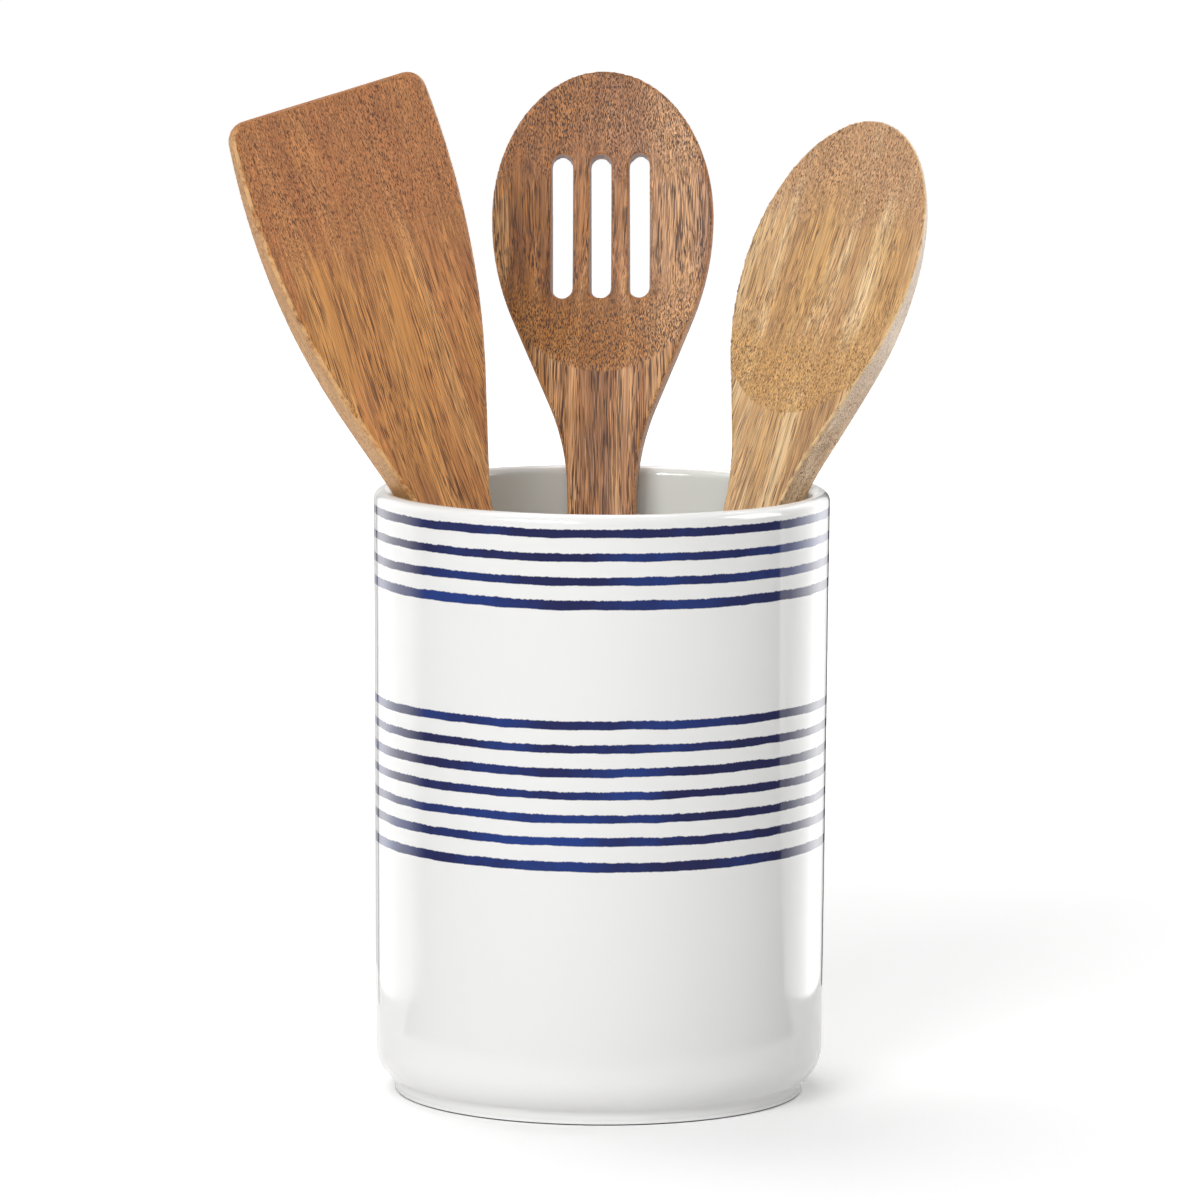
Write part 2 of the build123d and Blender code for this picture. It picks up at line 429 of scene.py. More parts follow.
def crockProfile(look):
    # from the middle of the inside floor, up the inside, over the lip and down to the foot
    lip = look["lipWall"] / 2
    lipCentre = (look["topRadius"] - lip, look["height"] - lip)
    innerTop = (look["topRadius"] - look["lipWall"], lipCentre[1])
    innerBase = (look["baseRadius"] - look["baseWall"], look["floorTop"])
    corner = look["cornerRadius"]
    lean = math.atan2(innerTop[0] - innerBase[0], innerTop[1] - innerBase[1])
    turn = math.pi / 2 - lean
    cut = corner * math.tan(turn / 2)
    cornerStart = (innerBase[0] - cut, innerBase[1])
    cornerCentre = (cornerStart[0], innerBase[1] + corner)
    points = evenLine((look["capRadius"], innerBase[1]), cornerStart, look["floorStep"])
    points += arcPoints(cornerCentre, corner, -90, -math.degrees(lean), 12)[1:]
    points += evenLine(points[-1], innerTop, look["wallStep"])[1:]
    points += arcPoints(lipCentre, lip, 180, 0, 19)[1:]
    curveTop = (look["baseRadius"], look["footHeight"] + look["curveHeight"])
    points += evenLine(points[-1], curveTop, look["wallStep"])[1:]
    slope = (look["baseRadius"] - look["topRadius"], curveTop[1] - lipCentre[1])
    footTop = (look["footOuter"], look["footHeight"])
    under = tangentArc(curveTop, slope, footTop, 16)
    points += under[1:-1]
    # the groove between the body and the foot is a small hollow curve
    groove = look["footGroove"]
    points += [
        (footTop[0] + groove * out, footTop[1] + groove * up) for out, up in look["grooveShares"]
    ]
    edge = look["footEdge"]
    points += arcPoints((look["footOuter"] - edge, edge), edge, 0, -90, 6)
    points += arcPoints((look["footInner"] + edge, edge), edge, -90, -180, 6)
    points += [
        (look["footInner"] - look["footRecess"], look["footRecess"]),
        (look["recessStep"], look["footRecess"]),
        (look["capRadius"], look["footRecess"]),
    ]
    return points


def makeCrock(look):
    profile = np.array(crockProfile(look))
    sectors = look["sectors"]
    angles = np.arange(sectors) * 2 * math.pi / sectors
    radius, height = profile[:, 0], profile[:, 1]
    lipStart = look["height"] - look["lipWall"]
    outside = np.zeros(len(profile), bool)
    outside[int(np.argmax(height)) :] = True
    # the thrown wall is never quite true: it swells and dips by a hair,
    # and never outwards past its size
    nearLip = smoothStep(lipStart, lipStart - look["trueNearLip"], height)
    free = smoothStep(*look["trueBelow"], height) * nearLip
    belly = smoothStep(*look["bellyFrom"], height) * look["bellyShare"]
    free = np.where(outside, np.maximum(free, belly), 0)
    verts = []
    for angle in angles:
        ring = np.column_stack([radius * math.cos(angle), radius * math.sin(angle), height])
        drift = wander(ring * (1, 1, 0.6), 0.03, 3)
        drift = drift + 0.4 * wander(ring * (0.35, 0.35, 3), 0.05, 7)
        shrink = look["wobble"] * free * (0.75 + 0.5 * drift)
        keep = 1 - np.clip(shrink, 0, 1) / np.maximum(radius, 1)
        verts += [(x * k * mm, y * k * mm, z * mm) for (x, y, z), k in zip(ring, keep)]
    count = len(profile)
    faces = []
    for i in range(sectors):
        here, there = i * count, ((i + 1) % sectors) * count
        faces += [(here + k, there + k, there + k + 1, here + k + 1) for k in range(count - 1)]
    faces.append([i * count for i in range(sectors)][::-1])
    faces.append([i * count + count - 1 for i in range(sectors)])
    mesh = bpy.data.meshes.new("crockBody")
    mesh.from_pydata(verts, [], faces)
    work = bmesh.new()
    work.from_mesh(mesh)
    bmesh.ops.recalc_face_normals(work, faces=work.faces)
    work.to_mesh(mesh)
    work.free()
    mesh.polygons.foreach_set("use_smooth", [True] * len(mesh.polygons))
    return addObject("crockBody", mesh)


def glazeMaterial(look):
    material, tree, shader = newMaterial("whiteGlaze")
    place = tree.nodes.new("ShaderNodeTexCoord").outputs["Object"]
    place = calcVector(tree, "MULTIPLY", place, (1000, 1000, 1000))
    parts = addNode(tree, "ShaderNodeSeparateXYZ", {0: place}).outputs
    height = parts[2]
    mask, paint = 0.0, 0.0
    for index, (centre, halfWidth) in enumerate(look["stripes"]):
        band = useGroup(
            tree,
            brushedBand,
            {"Place": place, "Centre": centre, "Half Width": halfWidth, "Seed": 9.7 * index + 4},
        )
        mask = calc(tree, "MAXIMUM", mask, band["Mask"])
        paint = calc(tree, "MULTIPLY_ADD", band["Mask"], band["Paint"], paint)
    # only the outside is painted
    radius = lengthOf(tree, calcVector(tree, "MULTIPLY", place, (1, 1, 0)))
    paintEnds = [look["topRadius"] - depth for depth in look["paintDepth"]]
    mask = calc(tree, "MULTIPLY", mask, rampStep(tree, radius, *paintEnds))
    # the blue turns towards navy on the right of the crock: painted shade of its darker right side
    paint = calc(tree, "MULTIPLY_ADD", rampStep(tree, parts[0], -30, 60), -0.12, paint)
    paint = rampStep(tree, paint, *look["blueRange"])
    blue = mixColours(tree, paint, look["navy"], look["cobalt"])
    # the glaze varies a little, is painted darker and cooler inside the crock as its shade, and
    # leaves the foot ring bare
    cloud = noiseAt(tree, place, 0.02, 3)
    white = mixColours(tree, cloud, tuple(c * 0.985 for c in look["glaze"]), look["glaze"])
    insideStarts = [look["topRadius"] - depth for depth in look["insideDepth"]]
    insideShadeShare = rampStep(tree, radius, *insideStarts)
    insideShadeShare = calc(tree, "MULTIPLY", insideShadeShare, rampStep(tree, height, *look["insideAbove"]))
    white = mixColours(tree, insideShadeShare, white, look["insideShadeGlaze"])
    colour = mixColours(tree, mask, white, blue)
    footEdge = calc(tree, "MULTIPLY_ADD", noiseAt(tree, place, 0.3, 2), 0.6, height)
    bare = rampStep(tree, footEdge, *look["bareBelow"])
    grit = noiseAt(tree, place, 2.2, 3, 0.7)
    biscuit = mixColours(tree, grit, tuple(c * 0.88 for c in look["biscuit"]), look["biscuit"])
    colour = mixColours(tree, bare, colour, biscuit)
    # painted contact shadow: a dark line along the bottom edge of the foot ring
    paintedFootShadow = rampStep(tree, height, *look["paintedFootShadowBelow"])
    colour = mixColours(tree, paintedFootShadow, colour, look["paintedFootShadow"])
    tree.links.new(colour, shader.inputs["Base Color"])
    sheen = calc(tree, "MULTIPLY_ADD", noiseAt(tree, place, 0.04, 2), 0.05, 0.045)
    roughness = mixValues(tree, bare, sheen, 0.85)
    tree.links.new(roughness, shader.inputs["Roughness"])
    # shallow throwing rings, the ripple of a poured glaze, and grit on the foot
    rings = noiseAt(tree, calcVector(tree, "MULTIPLY", place, (0.1, 0.1, 1)), 0.25, 2)
    ripple = noiseAt(tree, place, 0.16, 2)
    relief = calc(tree, "MULTIPLY_ADD", rings, 0.25, ripple)
    relief = calc(tree, "MULTIPLY_ADD", mask, 0.02, relief)
    relief = calc(tree, "MULTIPLY_ADD", calc(tree, "MULTIPLY", grit, bare), 1.5, relief)
    addBump(tree, shader, relief, 0.25, 0.06 * mm)
    shader.inputs["IOR"].default_value = 1.5
    return material


crock = makeCrock(crockLook)
crock.data.materials.append(glazeMaterial(crockLook))
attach(crock, "crock")
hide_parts("crock")
print("crock built:", len(crock.data.polygons), "faces")


# wooden tools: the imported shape, rounded over as sanding leaves it, with its own grain

turnerLook = {
    "piece": "turnerBlade",
    "node": "turner",
    "body": "turner",
    "slot": "turner_wood",
    "foot": (10.466, -17.352, 9.987),
    "along": (-0.317715, 0.08811, 0.944084),
    "across": (0.833282, 0.50104, 0.233665),
    "seed": 3.0,
    "dark": (0.38, 0.132, 0.028),
    "middle": (0.52, 0.198, 0.042),
    "light": (0.65, 0.300, 0.080),
    "golden": (0.60, 0.258, 0.046),
    "tip": (0.45, 0.158, 0.038),
    "pore": (0.09, 0.024, 0.006),
    "bandWidth": 8.5,
    "poreWidth": 0.31,
    "poreShare": 0.52,
    "tipPits": (236, 267),
    "dish": None,
    "tipStart": (234, 268),
    # the side colour is painted sheen and light on the sides
    "side": (0.68, 0.40, 0.175),
    "sideSheenShare": 0.65,
    "sideSheenRise": (60, 120),
    # painted highlight along the arris
    "arrisHighlight": (0.76, 0.46, 0.20),
    "arrisHighlightShare": 0.8,
    "roughness": 0.5,
}

slottedLook = {
    "piece": "slottedSpoon",
    "node": "slotted_spoon",
    "body": "slotted_spoon",
    "slot": "slotted_spoon_wood",
    "foot": (0.696, 1.462, 9.856),
    "along": (-0.002641, 0.302606, 0.953112),
    "across": (0.996914, -0.073984, 0.026252),
    "seed": 11.0,
    "dark": (0.24, 0.084, 0.018),
    "middle": (0.42, 0.160, 0.036),
    "light": (0.67, 0.335, 0.118),
    "golden": (0.46, 0.172, 0.018),
    "tip": (0.42, 0.156, 0.034),
    "pore": (0.040, 0.012, 0.004),
    "bandWidth": 5.0,
    "poreWidth": 0.33,
    "poreShare": 0.66,
    "tipPits": (262, 276),
    "dish": {"centre": 255.0, "halfLength": 51.0, "halfWidth": 38.5},
    "tipStart": (250, 270),
    # the side colour is painted sheen and light on the sides
    "side": (0.42, 0.17, 0.075),
    "sideSheenShare": 0.6,
    "sideSheenRise": (180, 245),
    # painted highlight along the arris
    "arrisHighlight": (0.46, 0.20, 0.088),
    "arrisHighlightShare": 0.6,
    # painted highlight on the right wall of the dish, in the light tone of the wood
    "dishWallHighlight": {"starts": (8, 22), "ends": (33, 27), "above": (205, 220), "share": 0.7},
    "slots": {
        "shift": -0.6,
        "pitch": 11.6,
        "width": 6.0,
        "straight": 37.5,
        "middle": 249.25,
        "outermost": (17.0, 16.0),
        "wallReach": (1.3, 0.9),
    },
    # the slot walls are painted greyish, as the light from the white backdrop behind falls on them
    "slotWallPaintedLight": (0.40, 0.315, 0.30),
    "slotSlope": {"front": 0.6, "back": -1.2, "reach": 4.0},
    "roughness": 0.38,
}

solidLook = {
    "piece": "solidSpoon",
    "node": "solid_spoon",
    "body": "solid_spoon",
    "slot": "solid_spoon_wood",
    "foot": (-4.985, -41.408, 10.304),
    "along": (0.294905, 0.283793, 0.91241),
    "across": (0.718953, -0.694869, -0.016246),
    "seed": 23.0,
    "dark": (0.49, 0.265, 0.102),
    "middle": (0.62, 0.368, 0.158),
    "light": (0.76, 0.525, 0.275),
    "golden": (0.60, 0.328, 0.094),
    "tip": (0.54, 0.300, 0.146),
    "pore": (0.12, 0.044, 0.012),
    "bandWidth": 6.5,
    "poreWidth": 0.31,
    "poreShare": 0.5,
    "tipPits": (262, 276),
    "dish": {"centre": 255.0, "halfLength": 51.0, "halfWidth": 38.5},
    "tipStart": (258, 280),
    # the side colour is painted sheen and light on the sides, palest high on the head
    "side": (0.96, 0.82, 0.69),
    "sideSheenShare": 0.85,
    "sideSheenRise": (190, 245),
    # painted highlight along the arris
    "arrisHighlight": (0.82, 0.58, 0.27),
    "arrisHighlightShare": 0.9,
    "roughness": 0.38,
}

sanding = {"voxel": 0.6, "passes": 3, "wave": 0.10}

# the end grain at the tip is darker than the face, and its arris gets no painted highlight
endGrain = {"from": 293.5, "to": 296.4, "share": 0.7}

# how far a face turns from the front: 1 is the front itself, 0 a side, -1 the back
facing = {
    "side": (0.7, 0.2),
    "arrisStarts": (0.965, 0.86),
    "arrisEnds": (0.2, 0.5),
    "paintedSlotLight": (0.88, 0.65),
}

woodFinish = {
    "reachDrift": 34.0,
    "toneRange": (0.32, 0.68),
    "goldenRange": (0.42, 0.62),
    "goldenShare": 0.6,
    "hollowGolden": 0.75,
    "tipShare": 0.7,
    "edgeDrift": 10.0,
    "fibreContrast": 1.8,
    "fibreBase": 0.1,
    "poreShade": 0.9,
    "sideSheenRiseShares": (0.7, 0.3),
    "sideSheenPores": -0.35,
    "unevenRange": (0.3, 0.6),
    "paintedSlotLightShare": 0.85,
    "fibreGloss": -0.12,
    "poreMatt": 0.2,
    "bumpStrength": 0.5,
    "bumpDistance": 0.0003,
}


def grainAxes(look):
    along = Vector(look["along"]).normalized()
    across = Vector(look["across"]).normalized()
    return across, along.cross(across), along


farAway = 99.0


def slotEndShift(look, local):
    # the upper slot ends slope a little, lower at the back than at the front
    slots, slope = look["slots"], look["slotSlope"]
    half = slots["pitch"] / 2
    side = (local[:, 0] - slots["shift"] + half) % slots["pitch"] - half
    # points past the outer slots belong to none
    side = np.where(np.abs(local[:, 0] - slots["shift"]) < 3 * half, side, farAway)
    over = local[:, 2] - slots["middle"] - slots["straight"] / 2
    away = np.hypot(side, over) - slots["width"] / 2
    near = smoothStep(slope["reach"], 0, away) * smoothStep(0, 2.0, over)
    depth = smoothStep(-1.0, 2.2, local[:, 1])
    return near * (slope["front"] + (slope["back"] - slope["front"]) * depth)


def makeTool(look):
    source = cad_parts[look["node"]]
    rough = addObject("rough", source.data.copy())
    remesh = rough.modifiers.new("remesh", "REMESH")
    remesh.mode = "VOXEL"
    remesh.voxel_size = sanding["voxel"] * mm
    soften = rough.modifiers.new("soften", "SMOOTH")
    soften.iterations = sanding["passes"]
    soften.factor = 0.5
    graph = bpy.context.evaluated_depsgraph_get()
    mesh = bpy.data.meshes.new_from_object(rough.evaluated_get(graph))
    mesh.name = look["piece"]
    bpy.data.objects.remove(rough)
    mesh.materials.clear()

    count = len(mesh.vertices)
    points = np.zeros(count * 3)
    mesh.vertices.foreach_get("co", points)
    points = points.reshape(-1, 3)
    normals = np.array([v.normal for v in mesh.vertices])
    axes = np.array([tuple(a) for a in grainAxes(look)])
    local = (points / mm - np.array(look["foot"])) @ axes.T
    # long shallow waves that a hand-held sander leaves, always cut inwards
    wave = wander(local * (1, 1, 0.3), 0.09, look["seed"]) * 0.5 + 0.5
    seated = smoothStep(8, 25, local[:, 2])
    points -= normals * (wave * seated * sanding["wave"] * mm)[:, None]
    if "slotSlope" in look:
        points += axes[2] * (slotEndShift(look, local) * mm)[:, None]
    mesh.vertices.foreach_set("co", points.ravel())
    mesh.polygons.foreach_set("use_smooth", [True] * len(mesh.polygons))
    mesh.update()

    tool = addObject(look["piece"], mesh)
    mesh.materials.append(woodMaterial(look))
    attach(tool, look["body"])
    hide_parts(look["node"])
    print(look["piece"], "built:", len(mesh.polygons), "faces")


def grainPlace(tree, look):
    # the frame's metres turned into millimetres along the tool
    turned = Matrix([tuple(a) for a in grainAxes(look)]).transposed().to_euler()
    return addNode(
        tree,
        "ShaderNodeMapping",
        {
            "Vector": tree.nodes.new("ShaderNodeTexCoord").outputs["Object"],
            "Location": [c * mm for c in look["foot"]],
            "Rotation": turned,
            "Scale": (mm, mm, mm),
        },
        vector_type="TEXTURE",
    ).outputs[0]


def dishBottom(tree, parts, drift, dish):
    # 1 in the part of the dish that rises to the handle, with its crisp lower edge
    wide = calc(tree, "DIVIDE", parts[0], dish["halfWidth"])
    high = calc(tree, "SUBTRACT", parts[2], dish["centre"])
    high = calc(tree, "DIVIDE", high, dish["halfLength"])
    spread = calc(tree, "MULTIPLY_ADD", wide, wide, calc(tree, "MULTIPLY", high, high))
    inside = rampStep(tree, calc(tree, "MULTIPLY_ADD", drift, 0.06, spread), 1.0, 0.965)
    steep = rampStep(tree, calc(tree, "MULTIPLY_ADD", drift, 0.5, high), -0.38, -0.66)
    front = rampStep(tree, parts[1], -0.5, -1.0)
    return calc(tree, "MULTIPLY", calc(tree, "MULTIPLY", inside, steep), front)


def turnedAway(tree, look):
    # 1 on the front of the tool, 0 on its sides, -1 on its back
    front = -Vector(look["along"]).cross(Vector(look["across"])).normalized()
    normal = tree.nodes.new("ShaderNodeTexCoord").outputs["Normal"]
    inputs = {0: normal, 1: tuple(front)}
    made = addNode(tree, "ShaderNodeVectorMath", inputs, operation="DOT_PRODUCT")
    return made.outputs["Value"]


def slotWalls(tree, parts, slots):
    # 1 on the walls inside the slots
    wide = calc(tree, "SUBTRACT", parts[0], slots["shift"])
    wide = calc(tree, "PINGPONG", wide, slots["pitch"] / 2)
    fromMiddle = calc(tree, "ABSOLUTE", calc(tree, "SUBTRACT", parts[0], slots["shift"]))
    nearMiddle = rampStep(tree, fromMiddle, *slots["outermost"])
    over = calc(tree, "ABSOLUTE", calc(tree, "SUBTRACT", parts[2], slots["middle"]))
    over = calc(tree, "MAXIMUM", calc(tree, "SUBTRACT", over, slots["straight"] / 2), 0.0)
    squares = calc(tree, "MULTIPLY_ADD", wide, wide, calc(tree, "MULTIPLY", over, over))
    away = calc(tree, "SQRT", squares)
    wallEnds = [slots["width"] / 2 + reach for reach in slots["wallReach"]]
    inside = rampStep(tree, away, *wallEnds)
    return calc(tree, "MULTIPLY", inside, nearMiddle)


def woodMaterial(look):
    finish = woodFinish
    material, tree, shader = newMaterial(look["piece"] + "Wood")
    place = grainPlace(tree, look)
    parts = addNode(tree, "ShaderNodeSeparateXYZ", {0: place}).outputs
    drift = calc(tree, "SUBTRACT", noiseAt(tree, place, 0.09, 3, 0.6), 0.5)
    reach = calc(tree, "MULTIPLY_ADD", drift, finish["reachDrift"], parts[2])
    tip = rampStep(tree, reach, *look["tipStart"])
    # pits at the tip, and where the dish cuts down through the fibres
    stipple = rampStep(tree, reach, *look["tipPits"])
    hollow = 0.0
    if look["dish"]:
        hollow = dishBottom(tree, parts, drift, look["dish"])
        stipple = calc(tree, "MAXIMUM", stipple, hollow)
    grain = useGroup(
        tree,
        woodGrain,
        {
            "Grain Place": place,
            "Seed": look["seed"],
            "Stipple": stipple,
            "Band Width": look["bandWidth"],
            "Pore Width": look["poreWidth"],
            "Pore Share": look["poreShare"],
        },
    )
    tone = rampStep(tree, grain["Bands"], *finish["toneRange"])
    colour = mixColours(tree, rampStep(tree, tone, 0.0, 0.5), look["dark"], look["middle"])
    colour = mixColours(tree, rampStep(tree, tone, 0.5, 1.0), colour, look["light"])
    golden = rampStep(tree, grain["Cloud"], *finish["goldenRange"])
    golden = calc(tree, "MULTIPLY", golden, finish["goldenShare"])
    bottom = calc(tree, "MULTIPLY", hollow, finish["hollowGolden"])
    golden = calc(tree, "MAXIMUM", golden, bottom)
    colour = mixColours(tree, golden, colour, look["golden"])
    tip = calc(tree, "MULTIPLY", tip, finish["tipShare"])
    colour = mixColours(tree, tip, colour, look["tip"])
    # painted highlight on the right wall of the dish, in the light tone of the wood
    if "dishWallHighlight" in look:
        dishWallHighlight = look["dishWallHighlight"]
        edge = calc(tree, "MULTIPLY_ADD", drift, finish["edgeDrift"], parts[0])
        highlightShare = calc(
            tree,
            "MULTIPLY",
            rampStep(tree, edge, *dishWallHighlight["starts"]),
            rampStep(tree, edge, *dishWallHighlight["ends"]),
        )
        highlightShare = calc(tree, "MULTIPLY", highlightShare, rampStep(tree, parts[2], *dishWallHighlight["above"]))
        highlightShare = calc(tree, "MULTIPLY", highlightShare, dishWallHighlight["share"])
        colour = mixColours(tree, highlightShare, colour, look["light"])
    streak = calc(
        tree, "MULTIPLY_ADD", grain["Fibre"], finish["fibreContrast"], finish["fibreBase"]
    )
    channels = {0: streak, 1: streak, 2: streak}
    streakColour = addNode(tree, "ShaderNodeCombineColor", channels).outputs[0]
    colour = mixColours(tree, 1.0, colour, streakColour, "MULTIPLY")
    poreShade = calc(tree, "MULTIPLY", grain["Pores"], finish["poreShade"])
    colour = mixColours(tree, poreShade, colour, look["pore"])
    # the arris gets a painted highlight, and the sides painted sheen and light, redder or paler
    # than the face
    front = turnedAway(tree, look)
    side = rampStep(tree, calc(tree, "ABSOLUTE", front), *facing["side"])
    below = rampStep(tree, parts[2], endGrain["to"], endGrain["from"])
    end = calc(tree, "MULTIPLY", side, calc(tree, "SUBTRACT", 1.0, below))
    side = calc(tree, "MULTIPLY", side, below)
    rise = rampStep(tree, reach, *look["sideSheenRise"])
    rise = calc(tree, "MULTIPLY_ADD", rise, *finish["sideSheenRiseShares"])
    sideSheenShare = calc(tree, "MULTIPLY", rise, look["sideSheenShare"])
    sideSheenShare = calc(tree, "MULTIPLY_ADD", grain["Pores"], finish["sideSheenPores"], sideSheenShare)
    colour = mixColours(tree, calc(tree, "MULTIPLY", side, sideSheenShare), colour, look["side"])
    # painted highlight: a lighter band along the arris, where light catches the rounded edge
    arrisHighlight = calc(
        tree,
        "MULTIPLY",
        rampStep(tree, front, *facing["arrisStarts"]),
        rampStep(tree, front, *facing["arrisEnds"]),
    )
    uneven = rampStep(tree, noiseAt(tree, place, 0.35, 3, 0.6), *finish["unevenRange"])
    arrisHighlight = calc(tree, "MULTIPLY", calc(tree, "MULTIPLY", arrisHighlight, uneven), look["arrisHighlightShare"])
    colour = mixColours(tree, calc(tree, "MULTIPLY", arrisHighlight, below), colour, look["arrisHighlight"])
    colour = mixColours(tree, calc(tree, "MULTIPLY", end, endGrain["share"]), colour, look["dark"])
    # painted light: the slot walls greyish, as lit from the white backdrop behind
    if "slots" in look:
        walls = slotWalls(tree, parts, look["slots"])
        paintedSlotLight = calc(tree, "MULTIPLY", walls, rampStep(tree, front, *facing["paintedSlotLight"]))
        paintedSlotLight = calc(tree, "MULTIPLY", paintedSlotLight, finish["paintedSlotLightShare"])
        colour = mixColours(tree, paintedSlotLight, colour, look["slotWallPaintedLight"])
    tree.links.new(colour, shader.inputs["Base Color"])
    # even fibre leaves the roughness as the tool's own
    base = look["roughness"] - finish["fibreGloss"] / 2
    roughness = calc(tree, "MULTIPLY_ADD", grain["Fibre"], finish["fibreGloss"], base)
    roughness = calc(tree, "MULTIPLY_ADD", grain["Pores"], finish["poreMatt"], roughness)
    tree.links.new(roughness, shader.inputs["Roughness"])
    shader.inputs["Specular IOR Level"].default_value = 0.5
    addBump(tree, shader, grain["Height"], finish["bumpStrength"], finish["bumpDistance"])
    return material


for look in (turnerLook, slottedLook, solidLook):
    makeTool(look)
print("tools built")


# stage: white floor, soft lamps, and sheets that only the glaze and the wood mirror

stageLook = {
    "floorReach": 30,
    "floor": (0.86, 0.86, 0.86),
    "fleck": 0.995,
    "floorGlow": (0.20, 0.78),
    "glowFrom": (0.22, 1.2),
    "worldLight": 0.27,
}

# what the lamps point at
crockMiddle = (0, 0, 0.16)
headMiddle = (0, 0, 0.25)

lampLooks = (
    {"name": "keyLamp", "place": (-0.80, -1.63, 1.10), "size": (0.9, 0.9), "strength": 5.8},
    {"name": "frontFill", "place": (-0.35, -2.40, 1.50), "size": (1.6, 1.25), "strength": 3.6},
    {"name": "overheadBack", "place": (-0.35, 0.62, 1.45), "size": (1.2, 1.2), "strength": 3.1},
    {"name": "rimRight", "place": (0.95, 0.25, 0.60), "size": (0.5, 0.9), "strength": 1.0},
)

# seen as a sheen alone: along the sides that turn right, and on the right wall of a dish
sheenLooks = (
    {"name": "sheenRight", "place": (0.95, -0.05, 0.60), "size": (0.5, 0.7), "strength": 7.0},
    {"name": "sheenLeft", "place": (-1.25, -1.62, 1.24), "size": (1.1, 0.6), "strength": 11.0},
)

# cards, black flags and grey sheets stand on the floor around the back of the crock, only to be
# mirrored in the glaze; each glows by the strengths in its list, from its first edge to its second
sheetHeight = 0.5
sheetLooks = (
    {
        "name": "cardLeft",
        "from": (-0.2372, -0.0056),
        "to": (-0.1214, 0.1926),
        "glow": (
            (0.0, 0.15),
            (0.13, 1.1),
            (0.22, 1.8),
            (0.42, 2.1),
            (0.56, 2.4),
            (0.65, 2.3),
            (0.78, 1.7),
            (0.90, 1.0),
            (1.0, 0.7),
        ),
    },
    {
        "name": "cardRight",
        "from": (0.2304, 0.0265),
        "to": (0.1214, 0.1926),
        "glow": (
            (0.0, 1.2),
            (0.16, 2.2),
            (0.33, 3.0),
            (0.46, 3.5),
            (0.60, 3.2),
            (0.75, 2.3),
            (0.90, 1.5),
            (1.0, 0.9),
        ),
    },
    {
        "name": "flagLeft",
        "from": (-0.1207, 0.1258),
        "to": (-0.1136, 0.1302),
        "glow": ((0.0, 0.03),),
    },
    {
        "name": "flagRight",
        "from": (0.1105, 0.1651),
        "to": (0.0862, 0.1743),
        "glow": ((0.0, 0.02),),
    },
    {
        "name": "greyLeft",
        "from": (-0.122, 0.195),
        "to": (-0.060, 0.225),
        "glow": ((0.0, 0.7),),
    },
    {
        "name": "greyRight",
        "from": (0.122, 0.195),
        "to": (0.060, 0.225),
        "glow": ((0.0, 0.7),),
    },
)

# dark cloth in front keeps the mirror of the room out of the painted bands
clothLook = {
    "inner": 0.16,
    "outer": 3.2,
    "lift": 0.0008,
    "wall": 3.5,
    "reach": 100,
    "steps": 61,
    "shade": 0.12,
}


def litForView(tree):
    # 1 for camera, mirror and see-through rays, 0 for the light that falls on things
    path = tree.nodes.new("ShaderNodeLightPath").outputs
    seen = calc(tree, "MAXIMUM", path["Is Camera Ray"], path["Is Glossy Ray"])
    return calc(tree, "MAXIMUM", seen, path["Is Transmission Ray"])


def makeFloor():
    mesh = bpy.data.meshes.new("floor")
    reach = stageLook["floorReach"]
    corners = [(-reach, -reach, 0), (reach, -reach, 0), (reach, reach, 0), (-reach, reach, 0)]
    mesh.from_pydata(corners, [], [(0, 1, 2, 3)])
    floor = addObject("floor", mesh)
    material, tree = emptyMaterial("paleFloor")
    place = tree.nodes.new("ShaderNodeTexCoord").outputs["Object"]
    fleck = noiseAt(tree, place, 40, 3)
    darker = tuple(c * stageLook["fleck"] for c in stageLook["floor"])
    colour = mixColours(tree, fleck, darker, stageLook["floor"])
    diffuse = addNode(tree, "ShaderNodeBsdfDiffuse", {"Color": colour})
    # the sweep goes to plain white away from the crock
    distance = lengthOf(tree, place)
    near, far = stageLook["floorGlow"]
    glowShare = addNode(
        tree,
        "ShaderNodeMapRange",
        {
            "Value": distance,
            "From Min": stageLook["glowFrom"][0],
            "From Max": stageLook["glowFrom"][1],
            "To Min": near,
            "To Max": far,
        },
        interpolation_type="SMOOTHSTEP",
    ).outputs[0]
    strength = calc(tree, "MULTIPLY", litForView(tree), glowShare)
    glow = addNode(tree, "ShaderNodeEmission", {"Strength": strength})
    both = addNode(tree, "ShaderNodeAddShader", {0: diffuse.outputs[0], 1: glow.outputs[0]})
    output = tree.nodes.new("ShaderNodeOutputMaterial")
    tree.links.new(both.outputs[0], output.inputs["Surface"])
    mesh.materials.append(material)


def makeWorld():
    world = bpy.data.worlds.new("studio")
    whole.world = world
    world.use_nodes = True
    tree = world.node_tree
    tree.nodes.clear()
    strength = mixValues(tree, litForView(tree), stageLook["worldLight"], 1.0)
    inputs = {"Color": (1, 1, 1, 1), "Strength": strength}
    background = addNode(tree, "ShaderNodeBackground", inputs)
    output = tree.nodes.new("ShaderNodeOutputWorld")
    tree.links.new(background.outputs[0], output.inputs["Surface"])


def makeLamp(name, place, target, size, strength):
    data = bpy.data.lights.new(name, "AREA")
    data.shape = "RECTANGLE"
    data.size, data.size_y = size
    data.energy = strength * math.pi * size[0] * size[1]
    lamp = bpy.data.objects.new(name, data)
    lamp.location = place
    lamp.rotation_euler = (Vector(target) - Vector(place)).to_track_quat("-Z", "Y").to_euler()
    lamp.visible_camera = False
    whole.collection.objects.link(lamp)
    return lamp


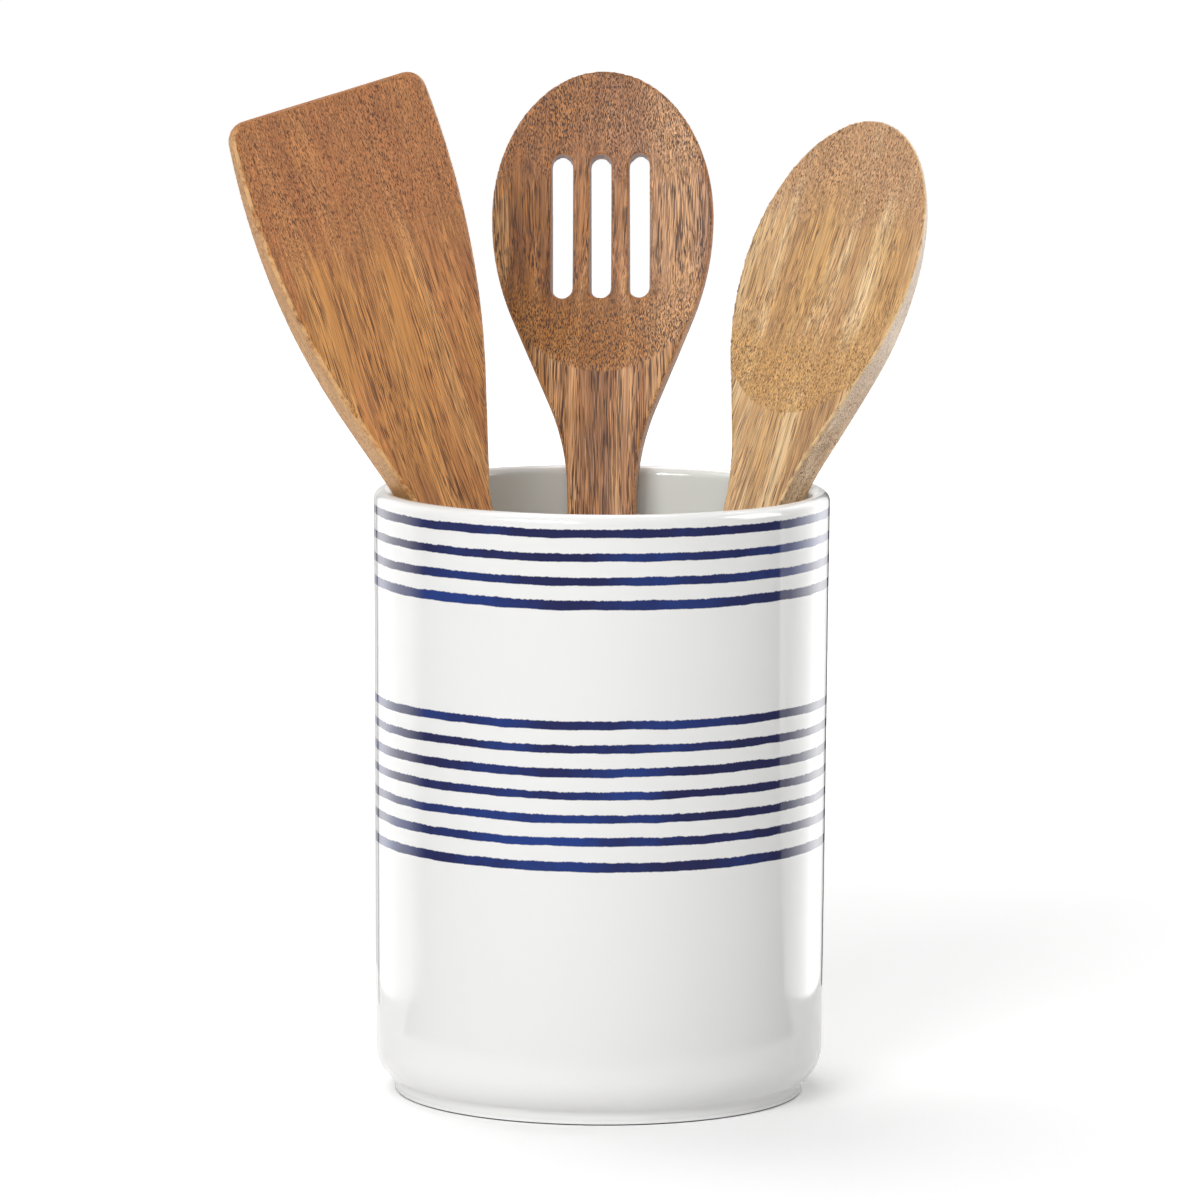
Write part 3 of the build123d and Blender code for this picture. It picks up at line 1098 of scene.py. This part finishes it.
def mirroredOnly(name, mesh, strengthOf):
    # a sheet that only the glaze and the sheen of the wood see
    sheet = addObject(name, mesh)
    sheet.visible_camera = False
    sheet.visible_diffuse = False
    sheet.visible_transmission = False
    sheet.visible_shadow = False
    material, tree = emptyMaterial(name)
    place = tree.nodes.new("ShaderNodeTexCoord").outputs["Object"]
    glow = addNode(tree, "ShaderNodeEmission", {"Strength": strengthOf(tree, place)})
    output = tree.nodes.new("ShaderNodeOutputMaterial")
    tree.links.new(glow.outputs[0], output.inputs["Surface"])
    mesh.materials.append(material)


def makeSheet(look):
    first, second = look["from"], look["to"]
    mesh = bpy.data.meshes.new(look["name"])
    corners = [(*first, 0), (*second, 0), (*second, sheetHeight), (*first, sheetHeight)]
    mesh.from_pydata(corners, [], [(0, 1, 2, 3)])
    brightest = max(strength for _, strength in look["glow"])

    def strengthOf(tree, place):
        parts = addNode(tree, "ShaderNodeSeparateXYZ", {0: place}).outputs
        share = addNode(
            tree,
            "ShaderNodeMapRange",
            {"Value": parts[0], "From Min": first[0], "From Max": second[0]},
        ).outputs[0]
        ramp = tree.nodes.new("ShaderNodeValToRGB")
        stops = ramp.color_ramp.elements
        while len(stops) > 1:
            stops.remove(stops[-1])
        for index, (where, strength) in enumerate(look["glow"]):
            stop = stops[0] if index == 0 else stops.new(where)
            stop.position = where
            stop.color = (*[strength / brightest] * 3, 1)
        tree.links.new(share, ramp.inputs[0])
        return calc(tree, "MULTIPLY", ramp.outputs[0], brightest)

    mirroredOnly(look["name"], mesh, strengthOf)


def makeCloth(look):
    # floor ring sector and standing wall, from one side of the crock round the front to the other
    angles = np.radians(np.linspace(-look["reach"], look["reach"], look["steps"]))
    inner, outer, lift = look["inner"], look["outer"], look["lift"]
    rings = ((inner, lift), (outer, lift), (outer, look["wall"]))
    verts = [(r * math.sin(a), -r * math.cos(a), z) for r, z in rings for a in angles]
    row = len(angles)
    faces = [
        (b * row + k, b * row + k + 1, (b + 1) * row + k + 1, (b + 1) * row + k)
        for b in range(2)
        for k in range(row - 1)
    ]
    mesh = bpy.data.meshes.new("darkCloth")
    mesh.from_pydata(verts, [], faces)

    def strengthOf(tree, place):
        return calc(tree, "MULTIPLY", noiseAt(tree, place, 1.5, 2), 2 * look["shade"])

    mirroredOnly("darkCloth", mesh, strengthOf)


makeFloor()
makeWorld()
for lamp in lampLooks:
    makeLamp(lamp["name"], lamp["place"], crockMiddle, lamp["size"], lamp["strength"])
for lamp in sheenLooks:
    sheen = makeLamp(lamp["name"], lamp["place"], headMiddle, lamp["size"], lamp["strength"])
    sheen.visible_diffuse = False
# the wide front lamp lights without a reflection of its own
bpy.data.objects["frontFill"].visible_glossy = False
makeCloth(clothLook)
for look in sheetLooks:
    makeSheet(look)

# fitted to the photograph: metres, degrees, and the focal length in pixels
view = {
    "sensor": 36,
    "clip": (0.05, 100),
    "place": (-0.000368, -2.3663, 0.44843),
    "down": 7.311,
    "roll": 0.313,
    "focal": 8152.0,
    "pixels": 1200.0,
}

cameraData = bpy.data.cameras.new("camera")
cameraData.sensor_width = view["sensor"]
cameraData.lens = view["focal"] / view["pixels"] * cameraData.sensor_width
cameraData.clip_start, cameraData.clip_end = view["clip"]
camera = bpy.data.objects.new("camera", cameraData)
tilt = Matrix.Rotation(math.radians(90 - view["down"]), 4, "X")
roll = Matrix.Rotation(math.radians(view["roll"]), 4, "Z")
camera.matrix_world = Matrix.Translation(view["place"]) @ tilt @ roll
whole.collection.objects.link(camera)
whole.camera = camera
whole.view_settings.view_transform = "Standard"
print("stage and camera set")
